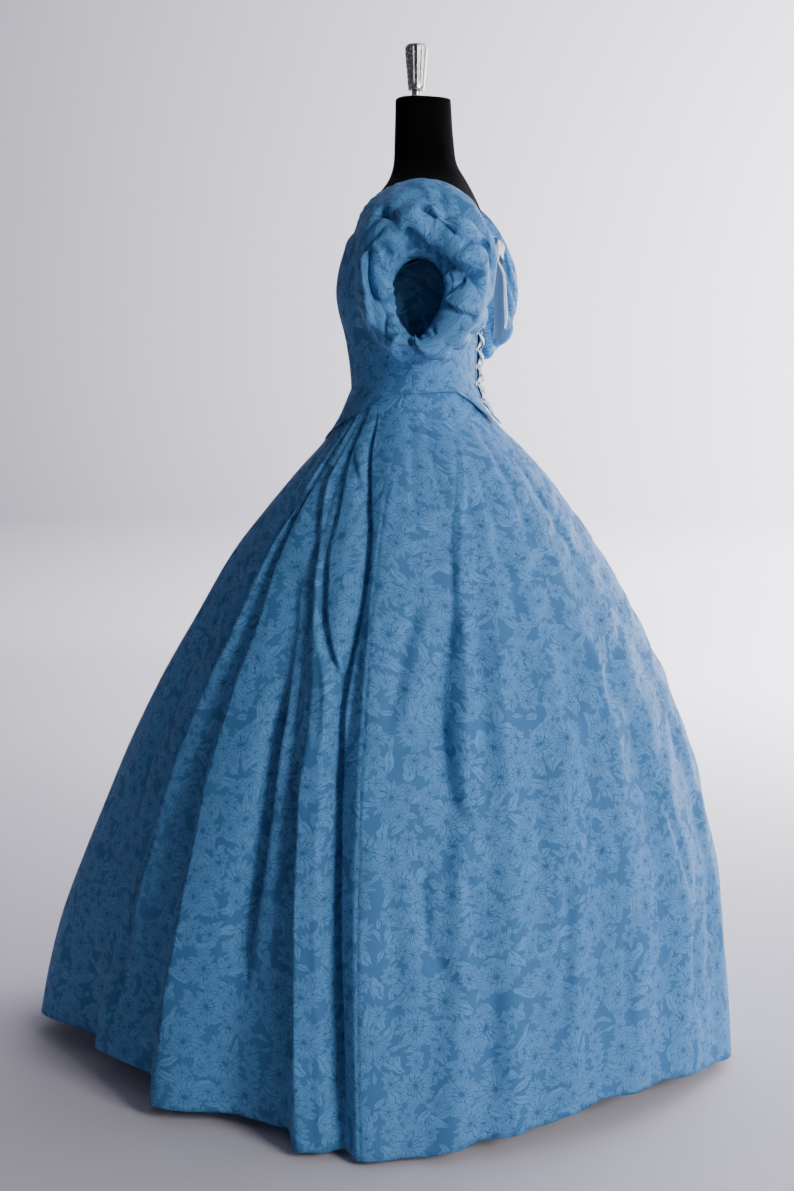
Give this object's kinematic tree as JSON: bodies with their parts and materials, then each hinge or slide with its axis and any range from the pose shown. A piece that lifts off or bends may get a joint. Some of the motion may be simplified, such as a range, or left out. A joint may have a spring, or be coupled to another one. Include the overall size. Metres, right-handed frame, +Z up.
{
  "type": "ball gown on a dress form",
  "caption": "Floor-length ball gown with a full pleated skirt, fitted pointed bodice, puffed sleeves and laced back, on a limbless dress form with a round base.",
  "frame": {"origin": "centre of the stand base's underside, on the pole's axis, where the part rests on the floor", "axes": "+Z up along the pole; -Y the gown's front; +X the wearer's left side"},
  "size_m": [0.9728, 1.1436, 1.602],
  "materials": {
    "gown_cloth": "steel-blue floral jacquard, soft satin figures on a duller ground",
    "ribbon_cloth": "pale blue sheer ribbon",
    "silver_metal": "polished silver-white",
    "form_jersey": "matte black jersey",
    "stand_metal": "satin black"
  },
  "bodies": {
    "root": {"skirt_front_left": "gown_cloth", "skirt_front_right": "gown_cloth", "skirt_back_left": "gown_cloth", "skirt_back_right": "gown_cloth", "skirt_waistband": "gown_cloth", "bodice_front": "gown_cloth", "bodice_back_left": "gown_cloth", "bodice_back_right": "gown_cloth", "sleeve_left": "gown_cloth", "sleeve_right": "gown_cloth", "lace_a": "ribbon_cloth", "lace_b": "ribbon_cloth", "bow_knot": "ribbon_cloth", "bow_loop_left": "ribbon_cloth", "bow_loop_right": "ribbon_cloth", "bow_tail_left": "ribbon_cloth", "bow_tail_right": "ribbon_cloth", "eyelet_left_01": "silver_metal", "eyelet_left_02": "silver_metal", "eyelet_left_03": "silver_metal", "eyelet_left_04": "silver_metal", "eyelet_left_05": "silver_metal", "eyelet_left_06": "silver_metal", "eyelet_left_07": "silver_metal", "eyelet_left_08": "silver_metal", "eyelet_left_09": "silver_metal", "eyelet_left_10": "silver_metal", "eyelet_left_11": "silver_metal", "eyelet_right_01": "silver_metal", "eyelet_right_02": "silver_metal", "eyelet_right_03": "silver_metal", "eyelet_right_04": "silver_metal", "eyelet_right_05": "silver_metal", "eyelet_right_06": "silver_metal", "eyelet_right_07": "silver_metal", "eyelet_right_08": "silver_metal", "eyelet_right_09": "silver_metal", "eyelet_right_10": "silver_metal", "eyelet_right_11": "silver_metal", "form_neck_cap": "silver_metal", "form_finial": "silver_metal", "form_torso": "form_jersey", "form_pole": "stand_metal", "form_base": "stand_metal"}
  },
  "joints": []
}
